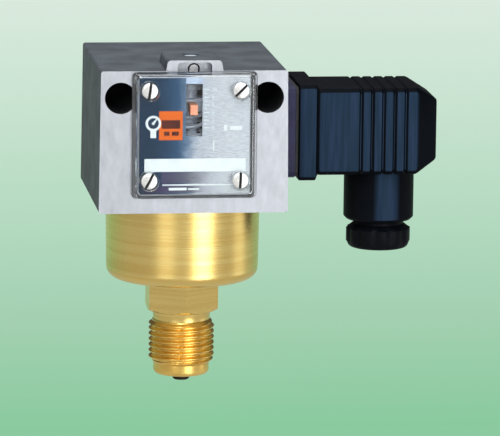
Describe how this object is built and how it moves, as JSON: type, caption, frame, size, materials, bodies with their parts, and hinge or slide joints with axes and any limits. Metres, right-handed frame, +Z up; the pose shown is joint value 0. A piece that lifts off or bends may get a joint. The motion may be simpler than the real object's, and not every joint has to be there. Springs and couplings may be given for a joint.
{
  "type": "pressure switch",
  "caption": "Bellows pressure switch: brass threaded connection and sensor cup under a die-cast housing with a clear setpoint window and a square angled cable plug.",
  "frame": {"origin": "on the axis of the process connection, at the face where its thread ends and its gasket seals", "axes": "+Z up the connection's axis towards the housing, -Y towards the window side, +Y towards the wall, +X towards the plug"},
  "size_m": [0.1098, 0.0696, 0.1077],
  "materials": {
    "casting": "as cast and slate-grey coated, front face machined bright",
    "brass": "turned",
    "bronze": "bright rolled",
    "steel": "zinc plated",
    "bright_screw": "bright nickel",
    "clear_plastic": "clear moulded",
    "printed_plate": "blue and silver print",
    "black_plastic": "fine moulded",
    "orange_plastic": "moulded",
    "rubber": "moulded",
    "wire_insulation": "extruded",
    "earth_insulation": "extruded"
  },
  "bodies": {
    "housing_assembly": {"housing": "casting", "process_connection": "brass", "sensor_cup": "brass", "bellows_base": "brass", "terminal_common": "brass", "terminal_closed": "brass", "terminal_open": "brass", "blade_open": "brass", "blade_closed": "brass", "blade_common": "brass", "blade_earth": "brass", "earth_screw": "brass", "bellows": "bronze", "sensor_flange": "steel", "flange_screw_1": "steel", "flange_screw_2": "steel", "flange_screw_3": "steel", "flange_screw_4": "steel", "setting_spring": "steel", "rocker_pin": "steel", "switch_bracket": "steel", "bracket_screw_1": "steel", "bracket_screw_2": "steel", "switch_screw_1": "steel", "switch_screw_2": "steel", "inlet_screw_1": "steel", "inlet_screw_2": "steel", "cover_screw_1": "bright_screw", "cover_screw_2": "bright_screw", "cover_screw_3": "bright_screw", "cover_screw_4": "bright_screw", "window_cover": "clear_plastic", "scale_plate": "printed_plate", "snap_switch": "black_plastic", "inlet_base": "black_plastic", "window_gasket": "rubber", "spindle_seal": "rubber", "inlet_gasket": "rubber", "wire_common": "wire_insulation", "wire_closed": "wire_insulation", "wire_open": "wire_insulation", "earth_wire": "earth_insulation"},
    "setting_spindle": {"setting_spindle": "steel"},
    "setting_nut": {"setting_nut": "steel", "setpoint_pointer": "orange_plastic"},
    "lock_pad": {"lock_pad": "brass"},
    "lock_screw": {"lock_screw": "steel"},
    "plunger": {"bellows_head": "brass", "plunger": "steel"},
    "rocker": {"rocker": "steel"},
    "switch_button": {"switch_button": "orange_plastic"},
    "plug": {"plug_shell": "black_plastic", "plug_gasket": "rubber", "terminal_insert": "black_plastic", "plug_screw": "steel", "cable_seal": "rubber"},
    "gland_washer": {"gland_washer": "steel"},
    "gland_nut": {"gland_nut": "black_plastic"}
  },
  "joints": [
    {"name": "spindle_turn", "type": "hinge", "parent": "housing_assembly", "child": "setting_spindle", "pos_m": [0, -0.0186, 0.09], "axis": [0, 0, 1], "range_deg": [0, 2160]},
    {"name": "nut_travel", "type": "slide", "parent": "housing_assembly", "child": "setting_nut", "axis": [0, 0, -1], "range_m": [0, 0.006], "deforming": ["setting_spring"]},
    {"name": "plunger_lift", "type": "slide", "parent": "housing_assembly", "child": "plunger", "axis": [0, 0, 1], "range_m": [0, 0.0005], "stiffness_N_per_m": 3000, "deforming": ["bellows"]},
    {"name": "rocker_tilt", "type": "hinge", "parent": "housing_assembly", "child": "rocker", "pos_m": [0, 0.016, 0.0662], "axis": [-1, 0, 0], "range_deg": [0, 1.8]},
    {"name": "button_press", "type": "slide", "parent": "housing_assembly", "child": "switch_button", "axis": [0, 0, 1], "range_m": [0, 0.00067]},
    {"name": "lock_screw_advance", "type": "slide", "parent": "housing_assembly", "child": "lock_pad", "axis": [0, -1, 0], "range_m": [0, 0.001]},
    {"name": "lock_screw_turn", "type": "hinge", "parent": "lock_pad", "child": "lock_screw", "pos_m": [0, -0.025, 0.1024], "axis": [0, -1, 0], "range_deg": [0, 720]},
    {"name": "plug_pull", "type": "slide", "parent": "housing_assembly", "child": "plug", "axis": [1, 0, 0], "range_m": [0, 0.03]},
    {"name": "gland_travel", "type": "slide", "parent": "plug", "child": "gland_washer", "axis": [0, 0, -1], "range_m": [0, 0.0045]},
    {"name": "gland_nut_turn", "type": "hinge", "parent": "gland_washer", "child": "gland_nut", "pos_m": [0.0632, 0, 0.045], "axis": [0, 0, -1], "range_deg": [0, 1080]}
  ],
  "couplings": [
    {"joint": "spindle_turn", "follows": "nut_travel", "rad_per_m": 6283.2},
    {"joint": "rocker_tilt", "follows": "plunger_lift", "rad_per_m": 62.5},
    {"joint": "button_press", "follows": "plunger_lift", "ratio": 1.3125},
    {"joint": "lock_screw_turn", "follows": "lock_screw_advance", "rad_per_m": 12566},
    {"joint": "gland_nut_turn", "follows": "gland_travel", "rad_per_m": 4188.8}
  ]
}
